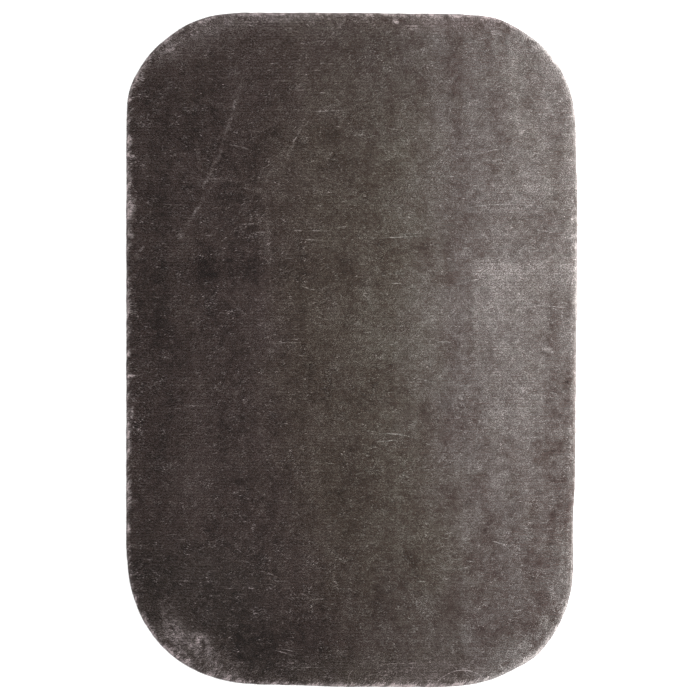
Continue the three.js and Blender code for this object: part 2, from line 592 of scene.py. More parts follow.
def make_grip():
    """Thin rubber sheet with a field of raised dots that stand on the floor."""
    sheet_bottom = GRIP_TOP - GRIP_SHEET
    flat = slab(GRIP_INSET, sheet_bottom, GRIP_TOP, edge=0.15)
    sheet = add_piece("grip_sheet", *flat, RUBBER, "grip_backing")
    row_pitch = 0.866 * DOT_PITCH  # the rows are staggered
    rows = int(LENGTH / row_pitch)
    columns = int(WIDTH / DOT_PITCH)
    j, i = np.meshgrid(np.arange(rows), np.arange(columns), indexing="ij")
    x = ((i - columns / 2 + 0.5 * (j % 2)) * DOT_PITCH).ravel()
    y = ((j - rows / 2) * row_pitch).ravel()
    keep = inset_of(x, y)[0] > GRIP_INSET + DOT_RADIUS + 1
    x, y = x[keep], y[keep]
    angle = np.arange(DOT_SIDES) * 2 * math.pi / DOT_SIDES
    dot_profile = ((sheet_bottom, 1.0), (0.42, 0.86), (0.12, 0.52))  # height, and share of the radius
    rings = []
    for z, share in dot_profile:
        radius = DOT_RADIUS * share
        ring_x = x[:, None] + radius * np.cos(angle)
        ring_y = y[:, None] - radius * np.sin(angle)
        rings.append(np.stack([ring_x, ring_y, np.full_like(ring_x, z)], axis=-1))
    tip = np.column_stack([x, y, np.zeros(len(x))])[:, None, :]
    points = np.concatenate([*rings, tip], axis=1)
    dots = []
    for name, here in (("grip_dots_left", x < 0), ("grip_dots_right", x >= 0)):
        dots.append(add_islands(name, points[here], DOT_SIDES, len(rings), RUBBER, "grip_backing"))
    return sheet, dots


# ---------------- tape, seams and label


def make_tape():
    """The folded tape, with soft folds and a slight pucker at each stitch."""
    wall_in = TAPE_INSET + TAPE_THICKNESS
    fold, beside_seam, pucker_depth = 0.35, 4, 0.08
    below = (TAPE_REACH_BELOW, HEM_SEAM_INSET, 18, 12, BINDING_SEAM_INSET, beside_seam, TAPE_INSET + fold)
    wall = (TAPE_BOTTOM + fold, (TAPE_BOTTOM + TAPE_TOP) / 2, TAPE_TOP - fold)
    above = (TAPE_INSET + fold, beside_seam, BINDING_SEAM_INSET, TAPE_REACH_ABOVE)
    outside = [(inset, TAPE_BOTTOM) for inset in below]
    outside += [(TAPE_INSET, z) for z in wall]
    outside += [(inset, TAPE_TOP) for inset in above]
    inside = [(inset, CLOTH_TOP) for inset in (TAPE_REACH_ABOVE, BINDING_SEAM_INSET, wall_in)]
    inside += [(inset, GRIP_TOP) for inset in (wall_in, BINDING_SEAM_INSET, HEM_SEAM_INSET, TAPE_REACH_BELOW)]
    even, inner, at = stations(1.6)
    rows = [ring(even, inner, inset, z) for inset, z in outside + inside]
    pucker = pucker_depth * np.cos(2 * math.pi * at / STITCH)
    for row, (inset, z) in zip(rows, outside):
        if inset in (BINDING_SEAM_INSET, beside_seam, HEM_SEAM_INSET):
            row[:, 2] += pucker if z < GRIP_TOP else -pucker
    corners, sizes = ring_faces(len(rows), len(even), True)
    return add_piece("binding_tape", np.vstack(rows), corners, sizes, TAPE, "edge_tape")


def make_seam(name, inset, surface, side, cad_node):
    """One thread round the mat. It lies on the tape and dips in where each stitch starts.

    side is 1 for a thread on the tape's upper leg, and -1 for one below the tape.
    """
    radius, sides, per_stitch = 0.22, 6, 8
    sway, gap, dip_depth, dip_width = 0.12, 0.03, 0.34, 0.1
    even, inner, at = stations(STITCH / per_stitch)
    phase = (at / STITCH) % 1
    dip = dip_depth * bell(phase, 0.5, dip_width)
    middle = even + inner * (inset + sway * np.sin(2 * math.pi * phase))[:, None]
    z = surface + side * (radius + gap - dip)
    rows = []
    for k in range(sides):
        angle = 2 * math.pi * k / sides
        out = -radius * math.cos(angle)
        rows.append(np.column_stack([middle + out * inner, z + radius * math.sin(angle)]))
    corners, sizes = ring_faces(sides, len(at), True)
    return add_piece(name, np.vstack(rows), corners, sizes, THREAD, cad_node)


def make_label():
    """A blank satin label with folded ends, held by a bar tack at each end."""
    low, high = box_mm("care_label")
    columns, rows = 60, 24
    gap_below, gap_above, fold_depth = 0.12, 0.04, 0.1
    u, v = np.meshgrid(np.linspace(0, 1, columns), np.linspace(0, 1, rows), indexing="ij")
    from_end = 0.5 - np.abs(u - 0.5)
    sag = 0.05 * np.sin(u * 9) * np.sin(v * 4) + fold_depth * np.exp(-from_end / 0.03)
    x, y = low[0] + u * (high[0] - low[0]), low[1] + v * (high[1] - low[1])
    under = np.stack([x, y, LABEL_BOTTOM + gap_below - sag * 0.5], axis=-1)
    over = np.stack([x, y, np.full_like(x, LABEL_TOP - gap_above)], axis=-1)
    points = np.concatenate([under.reshape(-1, 3), over.reshape(-1, 3)])
    index = np.arange(columns * rows).reshape(columns, rows)
    a, b = index[:-1, :-1].ravel(), index[1:, :-1].ravel()
    c, d = index[1:, 1:].ravel(), index[:-1, 1:].ravel()
    rim = np.concatenate([index[:-1, 0], index[-1, :-1], index[:0:-1, -1], index[0, :0:-1]])
    after = np.roll(rim, -1)
    shift = columns * rows  # from a point of the underside to the one above it
    faces = [
        np.column_stack([d, c, b, a]),
        np.column_stack([a, b, c, d]) + shift,
        np.column_stack([rim, after, after + shift, rim + shift]),
    ]
    corners = np.concatenate([f.ravel() for f in faces])
    sizes = np.full(len(corners) // 4, 4)
    label = add_piece("care_label_satin", points, corners, sizes, SATIN, "care_label")
    return label, [make_tack("left"), make_tack("right")]


def make_tack(end):
    """A bar tack: close zigzag stitches across the label's end."""
    cad_node = f"label_stitch_{end}"
    low, high = box_mm(cad_node)
    turns, half_width, end_gap, radius = 22, 0.45, 0.3, 0.14
    t = np.linspace(0, 1, turns * 8)
    swing = np.sin(t * turns * math.pi)
    x = (low[0] + high[0]) / 2 + half_width * swing
    y = low[1] + end_gap + t * (high[1] - low[1] - 2 * end_gap)
    z = (low[2] + high[2]) / 2 + 0.08 * np.abs(swing) - 0.02
    thread = tube(np.column_stack([x, y, z]), radius, 6)
    return add_piece(f"bar_tack_{end}", *thread, TACK, cad_node)


# ---------------- pile


def rim_at(angle):
    """The rim's surface at an angle up its curve: inset, height, and its outward and upward slope."""
    rise = HEIGHT - RIM_WIDEST
    out, up = np.cos(angle) / RIM_DEPTH, np.sin(angle) / rise
    size = np.hypot(out, up)
    return RIM_DEPTH * (1 - np.cos(angle)), RIM_WIDEST + rise * np.sin(angle), out / size, up / size


def field_surface(inset, out_x, out_y):
    """Height of the pile's surface in the field, and the direction straight out of it."""
    angle = np.arccos(ramp(inset, RIM_DEPTH, 0))
    _, z, out, up = rim_at(angle)
    return z, np.column_stack([out * out_x, out * out_y, up])


# Painted sheen: areas where the nap's lie is shown as brighter or darker colour, each (x, y, half width, half
# height, turn in degrees, strength)
SHEEN_AREAS = (
    (205, 80, 48, 60, 10, 0.06),
    (210, 107, 52, 8, 0, 0.22),
    (215, 170, 50, 11, 0, -0.14),
    (214, -90, 42, 95, 0, 0.06),
    (235, 365, 46, 60, 20, 0.18),
    (232, 215, 34, 26, 0, 0.28),
    (150, 290, 28, 38, 0, 0.30),
    (100, 66, 48, 28, 0, 0.28),
    (-60, 430, 190, 15, 0, 0.36),
    (-218, 404, 84, 28, 30, 0.55),
    (-185, 365, 70, 50, 30, 0.12),
    (246, 388, 40, 12, -50, 0.22),
    (-48, 355, 24, 76, 0, 0.24),
    (-16, -122, 46, 44, 0, 0.20),
    (-208, -140, 27, 105, 0, 0.60),
    (208, -406, 40, 24, 22, 0.34),
    (-215, -388, 56, 30, -40, 0.45),
    (-70, 30, 30, 60, 0, -0.12),
    (5, -220, 40, 60, 0, -0.08),
    (-160, 106, 125, 20, 0, -0.46),
    (64, 138, 34, 20, 0, -0.30),
    (-262, 60, 36, 64, 0, -0.36),
    (267, -10, 10, 175, 0, -0.26),
    (283, -22, 11, 200, 0, -0.24),
    (-132, -404, 34, 32, 0, -0.55),
    (-136, -356, 26, 60, 0, -0.30),
    (-139, -262, 24, 40, 0, -0.20),
    (-139, -108, 24, 42, 0, -0.16),
    (-139, 112, 24, 38, 0, -0.14),
    (-67, 347, 28, 42, 0, 0.14),
    (-107, 226, 20, 30, 0, 0.22),
    (-48, -108, 26, 42, 0, 0.16),
    (222, -374, 24, 26, 0, -0.22),
    (249, -330, 18, 36, 0, -0.14),
    (220, 345, 22, 24, 0, -0.16),
    (178, 258, 24, 96, 0, 0.16),
    (200, -14, 36, 32, 0, 0.27),
    (214, 46, 16, 28, 0, 0.13),
    (138, 46, 24, 26, 0, 0.16),
    (145, 97, 15, 14, 0, 0.16),
    (-190, 402, 24, 12, 15, 0.40),
    (279, -330, 10, 22, 10, 0.20),
    (234, 190, 30, 16, 0, 0.16),
    (160, -268, 18, 16, 0, -0.18),
    (216, -310, 46, 60, 0, -0.08),
    (161, -67, 14, 16, 0, -0.18),
    (279, -38, 10, 46, 0, -0.12),
    (-45, 345, 48, 95, 0, 0.12),
    (-198, 419, 28, 13, 20, 0.25),
    (-120, -388, 140, 66, 0, -0.14),
    (249, -245, 24, 40, 0, -0.18),
    (120, 436, 90, 14, 0, -0.16),
    (279, 316, 12, 30, 0, -0.20),
    (-245, -335, 30, 30, 0, -0.15),
    (-281, -360, 12, 18, 0, -0.12),
    (-281, -96, 12, 16, 0, -0.14),
    (-252, 168, 18, 44, 0, -0.12),
    (-222, 80, 20, 14, 0, -0.12),
    (131, 22, 15, 46, 0, 0.08),
    (242, 138, 20, 14, 0, 0.08),
    (-193, 432, 22, 9, 18, 0.20),
)

# Painted highlights: small places where the pile is ruffled, coloured brighter as if they caught the light,
# each described in the same way
RUFFLE_HIGHLIGHTS = (
    (-236, -378, 18, 13, -40, 4.2),
    (-203, -392, 17, 13, -30, 4.2),
    (-223, -411, 15, 8, -38, 4.0),
    (-165, -432, 15, 7, -15, 2.8),
    (-245, -352, 10, 20, 10, 1.4),
    (-190, -412, 32, 12, -25, 1.8),
    (-160, -424, 18, 7, -8, 0.8),
    (-242, 402, 24, 12, 38, 0.9),
    (279, -332, 7, 16, 20, 0.6),
    (248, -384, 16, 9, 42, 0.6),
    (-232, 405, 38, 9, 33, 1.0),
    (-176, 429, 34, 8, 14, 0.9),
    (-281, 360, 7, 6, -50, 5.0),
    (-292, 333, 6, 2, 15, 4.5),
    (-296, 281, 3, 6, 0, 5.0),
    (-293, 258, 5, 2, -20, 4.0),
    (-294, 230, 4, 4, 0, 3.0),
    (-295, 192, 4, 14, 0, 3.0),
    (-295, 160, 3, 10, 0, 2.0),
    (-290, 180, 5, 12, -10, 1.6),
    (-297, -6, 3, 4, 0, 6.0),
    (-292, -36, 7, 1.8, 6, 5.0),
    (-292, -86, 2, 7, -8, 5.0),
    (-297, -104, 2, 10, 0, 5.0),
    (-296, -130, 4, 12, 0, 2.4),
    (-296, -195, 3, 9, 0, 3.0),
    (-297, -240, 3, 7, 0, 4.0),
    (-290, -205, 6, 3, 20, 2.0),
    (-278, 372, 5, 4, 40, 3.0),
    (-245, 400, 6, 3, 0, 3.0),
    (-225, 412, 14, 5, 25, 1.2),
    (-132, 434, 5, 4, 0, 1.6),
    (-100, 441, 60, 5, 0, 0.6),
    (60, 438, 4, 4, 0, 2.2),
    (84, 431, 4, 5, 0, 1.6),
    (50, 423, 4, 3, 0, 1.8),
    (201, 0, 9, 14, 20, 0.4),
    (220, -52, 9, 3, 0, 0.8),
    (225, 292, 10, 5, -20, 0.8),
    (262, -2, 9, 3, -25, 1.0),
    (-158, 314, 2.2, 48, -17, 1.5),
    (-185, 240, 2.3, 28, -27, 1.6),
    (-205, 186, 2.4, 32, -31, 1.8),
    (-16, -444, 9, 5, 0, 1.2),
    (-203, 259, 3, 20, 5, 1.0),
    (-227, 245, 6, 4, 0, 0.9),
    (-228, 152, 5, 4, 0, 1.0),
    (-187, 154, 10, 3, 0, 0.7),
    (-176, 226, 26, 4, 5, 1.0),
    (-134, 216, 24, 4, -22, 1.1),
    (-93, 207, 8, 7, 0, 0.8),
    (-77, 271, 2.4, 34, -24, 1.2),
    (-110, 150, 3, 60, 3, 0.8),
    (-128, 190, 4, 30, 20, 0.5),
    (-128, 170, 12, 4, -10, 0.8),
    (-290, 195, 6, 9, 0, 1.6),
    (-293, 152, 4, 4, 0, 3.5),
    (-286, 124, 4, 3, 30, 2.0),
    (-279, 134, 2, 5, -30, 2.5),
    (-274, 241, 6, 22, 0, 0.5),
    (-155, -57, 8, 4, 0, 0.7),
    (-55, -172, 8, 4, 0, 0.6),
    (18, 76, 8, 10, 40, 0.5),
    (270, -322, 8, 10, 30, 0.7),
    (284, -300, 5, 12, 0, 0.7),
    (255, -358, 9, 12, 45, 0.6),
    (225, -395, 14, 8, 35, 0.6),
    (292, 175, 4, 6, 0, 0.9),
    (191, 420, 8, 5, -25, 0.8),
    (253, 352, 6, 10, -40, 0.6),
)

# Soft folds from packing, shown only as painted shade in a groove and painted light to its right, each (x, y,
# half height, fade to the right, how much brighter the right side is)
PAINTED_FOLDS = (
    (160, 96, 25, 120, 0.50),
    (160, 44, 31, 90, 0.44),
    (165, -14, 30, 30, 0.12),
    (189, -14, 28, 70, 0.30),
    (172, -75, 34, 90, 0.33),
    (182, -155, 48, 70, 0.20),
    (27, 262, 110, 110, 0.18),
    (-122, 120, 130, 90, 0.26),
    (-132, -70, 70, 70, 0.16),
    (279, 130, 190, 24, 0.10),
    (-72, 250, 60, 60, 0.12),
    (60, -60, 90, 60, 0.12),
    (-245, 130, 120, 40, 0.16),
    (200, 330, 70, 50, 0.14),
)

# Lines drawn in the pile, each (x, y, length, heading in degrees, bend per mm, strength)
LINES = (
    (262, 57.5, 49, -5, 0, 1),
    (205, 194, 130, 0, 0.0018, 0.6),
    (180, 264, 50, 12, 0, 0.5),
    (-69, 158, 16, 0, 0, 1),
    (-40, 158, 34, 0, 0, 0.7),
    (-13, 163, 18, 4, 0, 0.6),
    (-50, 146, 54, -3, 0, 0.6),
    (69, 150, 61, 3, 0, 0.8),
    (80, 154.5, 38, 3, 0, 0.6),
    (61, 88, 13, 0, 0, 0.9),
    (92, 27, 12, 0, 0, 0.8),
    (-44, 116, 10, 0, 0, 0.5),
    (150, -426.5, 80, 0, 0.0135, 1),
    (297, 120, 8, 10, 0, 1),
    (289, 312, 14, 5, 0, 1),
    (289, 305, 10, 5, 0, 0.8),
    (-229, -310, 32, 0, 0, 0.7),
    (-163, -320, 11, 0, 0, 1),
    (-132, -320, 10, 0, 0, 0.9),
    (-182, -330, 18, 0, 0, 0.8),
    (-88, -406, 32, -14, 0, 0.9),
    (-93, -310, 18, 0, 0, 0.7),
    (-85, -402, 26, -8, 0.004, 0.8),
    (-60, -425, 50, 2, 0, 0.6),
    (70, -418, 62, 2, 0, 0.6),
    (0, -432, 18, 62, 0.02, 0.6),
    (-90, 358, 40, 0, 0, 0.5),
    (-222, 176, 24, -12, 0, 0.3),
    (-204, 176, 14, 60, 0, 0.3),
    (-134, 213, 30, -16, 0.004, 0.45),
    (-135, 167, 30, 3, 0, 0.8),
    (-118, 156, 30, 1, 0, 0.6),
    (-63, 346, 22, 5, 0, 0.7),
    (-35, 342, 20, -2, 0, 0.7),
    (-26, 381, 8, 0, 0, 0.9),
    (-136, 3, 5, 0, 0, 1),
    (-111, 16, 7, 8, 0, 0.9),
    (-205, -32, 8, 0, 0, 0.8),
    (-213, -76, 30, 0, 0, 0.6),
    (-192, -76, 22, 2, 0, 0.6),
    (60, -113, 46, -6, 0.004, 0.7),
    (50, -122, 34, 5, 0, 0.6),
    (255, -96, 40, 6, 0, 0.4),
    (-230, -80, 12, 0, 0, 0.6),
    (-28, 318, 44, 2, 0, 0.8),
    (-82, 121, 12, 0, 0, 1),
    (-74, 280, 12, 50, 0, 0.7),
    (-187, 152, 18, 0, 0, 0.6),
    (-228, 153, 12, 12, 0, 0.9),
    (-225, 149, 9, -55, 0, 0.9),
    (-273, 338, 10, -8, 0, 1),
    (-228, 311, 8, 20, 0, 0.8),
    (-290, 335, 12, 16, 0.01, 1),
    (-289, 257, 9, -30, -0.02, 1),
)

# Cloudiness of the pile's tone, each (strength, size of its lumps, squeeze in x and in y, seed)
CLOUDS = (
    (0.24, 48, 1, 1, 3),
    (0.20, 22, 1.3, 1, 4),
    (0.26, 9, 1, 1.6, 8),
    (0.16, 16, 1.5, 1 / 6, 42),
    (0.22, 4.5, 1, 1, 18),
)


def painted_light_tone(x, y):
    """Painted light and sheen: the broad change of tone over the mat, darker at the left and at the foot, and
    brighter towards the lamp at the right.
    """
    across = 1 / (1 + np.exp(-(x - 95) / 70))
    foot = (0.3 + 0.7 * ramp(across, 0, 0.2)) / (1 + np.exp((y + 250) / 50))
    return (0.73 + 2.26 * across - 0.1 * bell(x, -275, 50)) * (1 - 0.24 * foot + 0.08 * bell(y, 70, 90))


def painted_fold_light(x, y, fold):
    """Painted shade and light of a fold: darker in its groove, and brighter to the right of it, towards the
    lamp.
    """
    fold_x, fold_y, half_y, fade, strength = fold
    groove_width = 3.5
    past = x - fold_x - 2 * lumps(y, np.full_like(y, fold_x), 40, 33)
    # painted light to the right of the fold, and below it painted shade in its groove
    lift = np.exp(-np.clip(past, 0, None) / fade) / (1 + np.exp(-np.clip(past / 1.6, -30, 30)))
    groove_shade = 0.45 * np.exp(-np.abs(past + groove_width) / groove_width)
    return strength * bell(y, fold_y, half_y, 4) * (lift - groove_shade)


def painted_sheen_and_mottle(x, y):
    """How much brighter or darker a place's colour is made: painted sheen of the nap's lie, painted
    highlights of ruffled pile, painted fold shading, and random clouds of tone.
    """
    total = np.zeros_like(x)
    highlight_mottle = 1 + 0.9 * lumps(x, y, 4, 6) + 0.7 * lumps(x, y, 11, 7) + 0.9 * lumps(x, y, 1.8, 11)
    for areas, gain in ((SHEEN_AREAS, 1), (RUFFLE_HIGHLIGHTS, np.clip(highlight_mottle, 0.1, 3))):
        for middle_x, middle_y, half_x, half_y, turn, strength in areas:
            u, v = turned(x - middle_x, y - middle_y, turn)
            away = (u / half_x) ** 2 + (v / half_y) ** 2
            total += strength * gain * np.exp(-(away**1.4))
    for fold in PAINTED_FOLDS:
        total += painted_fold_light(x, y, fold)
    for strength, size, squeeze_x, squeeze_y, seed in CLOUDS:
        total += strength * lumps(x * squeeze_x, y * squeeze_y, size, seed)
    return total


def olive_at(x, y):
    """How olive the pile looks: most along the middle, least at both sides."""
    middle = 5 + 40 * ramp(y, -150, -250)
    ends = 1 - 0.6 * ramp(np.abs(y), 260, 380)
    return np.clip(bell(x, middle, 108, 4) * ends + 0.2 * lumps(x, y, 24, 40), 0, 1)


def rosy_at(x, y):
    """How much a place has the rosy hues of the left half and of the band along the top."""
    return np.maximum(ramp(x, 50, -70), ramp(y, 418, 434))


def foot_at(x, y):
    """How much a place has the hues of the mat's foot: its left corner and a band along its end."""
    corner = bell(x, -215, 110, 4) * ramp(y, -240, -300)
    return np.maximum(corner, ramp(y, -395, -420) * ramp(x, 190, 130))


def hues(x, y):
    """The numbers that choose the pile's hue at a place."""
    return {"olive": olive_at(x, y), "rosy": rosy_at(x, y), "foot": foot_at(x, y)}


def drawn_lines():
    """The lines above, and short ones scattered over the mat along its rows."""
    draw = np.random.default_rng(21)
    lines = list(LINES)
    for _ in range(SCATTERED_LINES):
        middle_x, middle_y = draw.uniform((-280, -430), (280, 430))
        length = 3 + draw.exponential(7)
        turn, bend = draw.normal(0, 8), draw.normal(0, 0.006)
        lines.append((middle_x, middle_y, length, turn, bend, draw.uniform(0.1, 0.75)))
    return lines


def draw_line(total, x, y, line):
    """Raises total towards the line's strength at the places on the line."""
    middle_x, middle_y, length, turn, bend, strength = line
    near = np.flatnonzero((np.abs(x - middle_x) < length / 2) & (np.abs(y - middle_y) < length / 2 + 3))
    u, v = turned(x[near] - middle_x, y[near] - middle_y, turn)
    half_width = 0.8
    inside = ramp(np.abs(u), length / 2, 0) ** 0.4
    total[near] = np.maximum(total[near], strength * inside * bell(v, -bend * u * u, half_width))


def creases(x, y):
    """Thin lines where the pile is parted: 1 on a line, 0 away from it."""
    total = np.zeros_like(x)
    for line in drawn_lines():
        draw_line(total, x, y, line)
    return total


def painted_rim_light(x, y, z, inset, high):
    """Painted light at the rim: how much brighter the pile's colour is made where it turns over the rim and
    near it, as highlights and sheen, with ruffled tufts as patchy highlights.
    """
    _, out_x, out_y = inset_of(x, y)
    leftward, rightward, footward = (np.maximum(share, 0) for share in (-out_x, out_x, -out_y))
    rim, shoulder, border, wide = (ramp(inset, width, 0) for width in (8, 11, 24, 40))
    across, along = x + 1.6 * (HEIGHT - z), y + 2.1 * (HEIGHT - z)
    broad, fine = lumps(across, along, 14, 9), lumps(across, along, 4.5, 45)
    finest = lumps(across, along, 2.2, 46)
    patchy = np.clip(0.1 + 1.1 * broad + 1.9 * fine + 1.9 * finest, 0, 4)
    flare = 2.1 * np.clip(patchy, 0, 4 / painted_light_tone(x, y)) + 0.45
    gain = 1.2 + 0.9 * leftward - 1.2 * rightward + 0.8 * footward
    lit = np.clip(0.5 + 0.5 * out_x + 0.25 * np.abs(out_y), 0, 1)
    right_corner = np.clip(2 * out_x * np.abs(out_y), 0, 1)
    # painted rim highlights, fading lower on the rim, with a little painted shade at the outermost right
    light = rim * (gain * high * flare - 0.28 * rightward)
    light += border * (0.3 * lit * np.clip(patchy, 0, 1.5) + 0.4 * patchy * leftward)
    # painted light near the ends, and painted highlights at the right corners
    light += 0.45 * wide**2 * (1 - np.abs(out_x))
    return light + 0.9 * shoulder * right_corner


def tone_at(x, y, z, inset):
    """Each lock's tone, at its place and height: a random tone of its own, with painted light, sheen,
    highlights and shade laid over it. The darkest part of the mat is about 1.
    """
    count = len(x)
    crease_highlight, row_shade, stray_share = 1.7, 0.035, 0.006
    # lower on the rim the locks get painted shade
    high = np.clip((z - CLOTH_TOP) / (RIM_SHADE_LEVEL - CLOTH_TOP), 0.2, 1)
    tone = painted_light_tone(x, y) * (1 + high * painted_sheen_and_mottle(x, y))
    # painted highlight along the parted lines
    tone *= 1 + crease_highlight * creases(x, y) / np.sqrt(tone)
    uneven = 0.46 + 0.5 * np.clip(lumps(x, y, 10, 12) - 0.1, 0, 1)
    tone *= np.exp(rng.normal(0, 1, count) * uneven / np.clip(tone, 0.5, 4) ** 0.6)
    # painted shade between the rows of tufts
    tone *= 1 + row_shade * np.cos(2 * math.pi * (y + 0.9 * lumps(x, y, 26, 41)) / ROW_PITCH)
    tone = np.where(rng.random(count) > 1 - stray_share, tone * 2, tone)
    return tone * (1 + painted_rim_light(x, y, z, inset, high)) * (0.45 + 0.55 * high)


def lay(surface, normal, lie, length, unevenness):
    """Roots and tips of locks that lie along a surface: sunk at the root, and at its level at the tip."""
    along = unit(lie - normal * (lie * normal).sum(1)[:, None])
    half = 0.5 * length[:, None] * along
    lift = rng.normal(0, unevenness, len(surface))[:, None]
    return surface - ROOT_DEPTH * normal - half, surface + lift * normal + half


def locks(name, root, tip, normal, radius, tone, low_x, high_x):
    """Locks of fibres: closed three-sided points with a ridge on top, from root to tip."""
    axis = unit(tip - root)
    side = unit(np.cross(axis, normal))
    ridge = np.cross(side, axis)
    roll = rng.normal(0, 0.3, len(root))
    feet = []
    for k in range(3):
        angle = roll + 2 * math.pi * k / 3
        out = np.cos(angle)[:, None] * ridge + LOCK_WIDENING * np.sin(angle)[:, None] * side
        feet.append(root + radius[:, None] * out)
    points = np.stack([*feet, tip], axis=1)
    margin = 8
    span = np.array([high_x - low_x + 2 * margin, LENGTH + 2 * margin])
    uv = (points[..., :2] - np.array([low_x - margin, -LENGTH / 2 - margin])) / span
    values = {"tone": tone, **hues(root[:, 0], root[:, 1])}
    return add_islands(name, points, 3, 1, PILE, "pile", values, uv)


def tuft_of(x, y):
    """The middle of the tuft that each place belongs to, and three random values of that tuft."""
    row = np.round(y / ROW_PITCH).astype(int)
    shift = 0.5 * (row % 2)
    column = np.round(x / TUFT_PITCH + shift).astype(int)
    table = np.random.default_rng(17).normal(0, 1, (256, 256, 3))
    own = table[row + 128, column + 128]
    middle_x = (column - shift) * TUFT_PITCH + 0.5 * own[:, 0]
    middle_y = row * ROW_PITCH + 0.4 * own[:, 1]
    return middle_x, middle_y, own


def wave(x, y):
    """The slight unevenness of the pile's height."""
    return 0.2 * lumps(x, y, 50, 5) - 0.15


def field_locks():
    """Locks over the whole mat, in strips. They gather in rows of tufts and lean with the nap."""
    columns, rows = int(WIDTH / LOCK_PITCH), int(LENGTH / LOCK_PITCH)
    i, j = np.meshgrid(np.arange(columns), np.arange(rows), indexing="ij")
    x = (i.ravel() - (columns - 1) / 2 + rng.uniform(-0.5, 0.5, i.size)) * LOCK_PITCH
    y = (j.ravel() - (rows - 1) / 2 + rng.uniform(-0.5, 0.5, j.size)) * LOCK_PITCH
    middle_x, middle_y, own = tuft_of(x, y)
    x = x + LOCK_PULL * (middle_x - x)
    y = y + LOCK_PULL * (middle_y - y)
    keep = inset_of(x, y)[0] > RIM_REACH
    x, y, own = x[keep], y[keep], own[keep]
    count = len(x)
    inset, out_x, out_y = inset_of(x, y)
    z, normal = field_surface(inset, out_x, out_y)
    surface = np.column_stack([x, y, z + wave(x, y) - CREASE_DEPTH * creases(x, y)])
    heading = NAP + 0.5 * lumps(x, y, 70, 13) + 0.3 * lumps(x, y, 18, 14) + 0.12 * own[:, 2]
    heading = heading + rng.normal(0, 0.16, count)
    outward = 1.2 * ramp(inset, 14, 0)
    lie_x, lie_y = np.cos(heading) + outward * out_x, np.sin(heading) + outward * out_y
    lie = np.column_stack([lie_x, lie_y, np.zeros(count)])
    length = LOCK_LENGTH * rng.uniform(0.75, 1.25, count) * (1 + 0.2 * lumps(x, y, 9, 15))
    root, tip = lay(surface, normal, lie, length, 0.16)
    tone = tone_at(x, y, z, inset) * np.exp(0.11 * own[:, 0])
    radius = LOCK_RADIUS * rng.uniform(0.75, 1.2, count)
    edges = np.quantile(x, np.linspace(0, 1, STRIPS + 1))
    edges[-1] += 1
    for strip in range(STRIPS):
        low, high = edges[strip], edges[strip + 1]
        here = (x >= low) & (x < high)
        name = f"pile_strip_{strip + 1:02d}"
        locks(name, root[here], tip[here], normal[here], radius[here], tone[here], low, high)


def line_locks():
    """Locks that stand a little proud along each drawn line, end to end, coloured brighter as painted
    highlights.
    """
    x, y, heading, strength = [], [], [], []
    for middle_x, middle_y, length, turn, bend, bright in drawn_lines():
        u = np.arange(-length / 2, length / 2, 0.55)
        step_x, step_y = turned(u, -bend * u * u, -turn)
        x.append(middle_x + step_x)
        y.append(middle_y + step_y)
        heading.append(math.radians(turn) + math.pi - np.arctan(2 * bend * u))
        strength.append(bright * np.clip(2 - np.abs(u) * 4 / length, 0, 1))
    x, y, heading, strength = (np.concatenate(values) for values in (x, y, heading, strength))
    keep = (inset_of(x, y)[0] > RIM_REACH) & (rng.random(len(x)) < 0.25 + strength)
    x, y, heading, strength = (values[keep] for values in (x, y, heading, strength))
    count = len(x)
    z = field_surface(*inset_of(x, y))[0]
    x = x + rng.normal(0, 0.15, count)
    y = y + rng.normal(0, 0.2, count)
    surface = np.column_stack([x, y, z + wave(x, y) + 0.1])
    heading = heading + rng.normal(0, 0.12, count)
    along = np.column_stack([np.cos(heading), np.sin(heading), np.zeros(count)])
    normal = np.tile([0.0, 0.0, 1.0], (count, 1))
    half = 0.5 * rng.uniform(1.6, 2.8, count)[:, None] * along
    root = surface - (PILE_DEPTH + 0.2) * normal - half
    broken = np.clip(0.9 + 1.6 * lumps(x, y, 3.2, 50), 0.1, 2)
    tone = painted_light_tone(x, y)
    tone = tone * (1 + 4.2 * strength * broken / np.sqrt(tone)) * np.exp(rng.normal(0, 0.25, count))
    radius = rng.uniform(0.26, 0.4, count)
    locks("pile_bright_lines", root, surface + half, normal, radius, tone, -WIDTH / 2, WIDTH / 2)


def rim_locks():
    """Rings of locks that fan out over the tape and make the rounded rim."""
    even, inner, _ = stations(0.95)
    inward = unit(inner)
    slide = np.column_stack([-inward[:, 1], inward[:, 0]])
    count = len(even)
    parts = []
    for degrees in range(-30, 50, 4):
        inset, z, out, up = rim_at(np.radians(degrees + rng.uniform(-2, 2, count)))
        xy = even + inset[:, None] * inner + rng.uniform(-0.6, 0.6, count)[:, None] * slide
        x, y = xy[:, 0], xy[:, 1]
        normal = np.column_stack([-inward * out[:, None], up])
        surface = np.column_stack([xy, z]) + (0.35 * lumps(x, y, 11, 30))[:, None] * normal
        yaw = rng.normal(0, 0.35, count) + 0.6 * lumps(x, y, 12, 31)
        droop = np.column_stack([slide * np.sin(yaw)[:, None], -np.cos(yaw)])
        length = LOCK_LENGTH * rng.uniform(0.6, 1.0, count)
        root, tip = lay(surface, normal, droop, length, 0.15)
        parts.append((root, tip, normal, tone_at(x, y, z, np.zeros(count))))
    root, tip, normal, tone = (np.concatenate(values) for values in zip(*parts))
    radius = LOCK_RADIUS * rng.uniform(0.65, 1.0, len(root))
    left = root[:, 0] < 0
    for name, here, low, high in (("left", left, -WIDTH / 2, 0), ("right", ~left, 0, WIDTH / 2)):
        locks(f"pile_rim_{name}", root[here], tip[here], normal[here], radius[here], tone[here], low, high)


